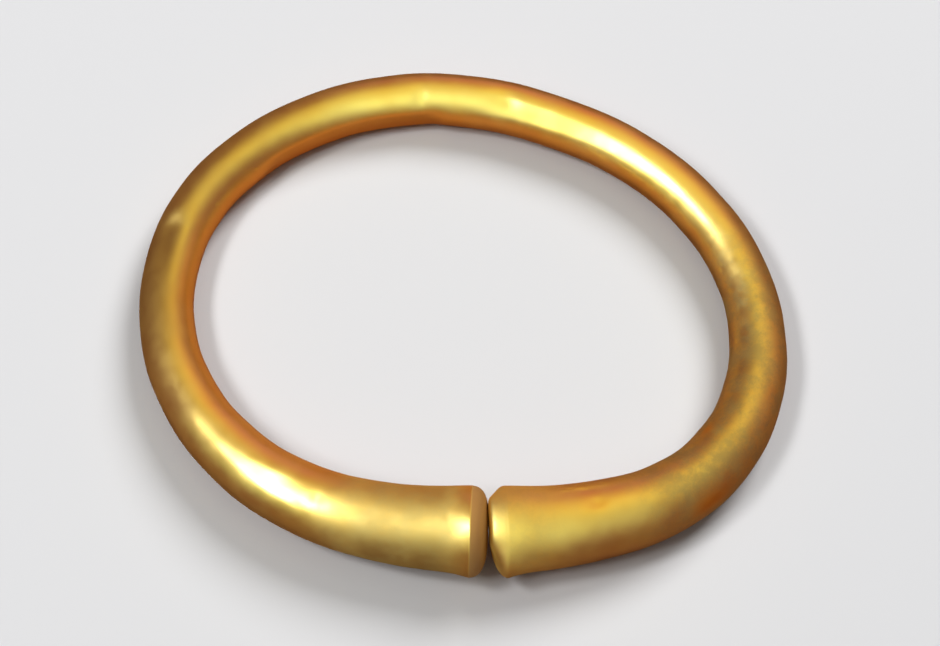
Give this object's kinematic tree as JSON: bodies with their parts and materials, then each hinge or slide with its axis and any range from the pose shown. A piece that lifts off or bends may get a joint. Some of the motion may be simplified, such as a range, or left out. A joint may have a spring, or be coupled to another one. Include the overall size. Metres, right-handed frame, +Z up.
{
  "type": "penannular armlet",
  "caption": "Open oval arm ring of solid gold: a round bar, thickest at its flared, domed ends, which face each other across a narrow gap.",
  "frame": {"origin": "under the middle of the hoop's outline, on the surface that it lies on", "axes": "+X along the hoop's width, the way the two ends face each other; +Y from the gap to the back of the hoop; +Z up, out of the hoop as it lies flat"},
  "size_m": [0.075, 0.0641, 0.0107],
  "materials": {
    "gold": "high-carat gold, hammered smooth and polished by wear to a soft satin shine, with small dings and a matt, pitted stretch"
  },
  "bodies": {
    "root": {"armlet": "gold"}
  },
  "joints": []
}
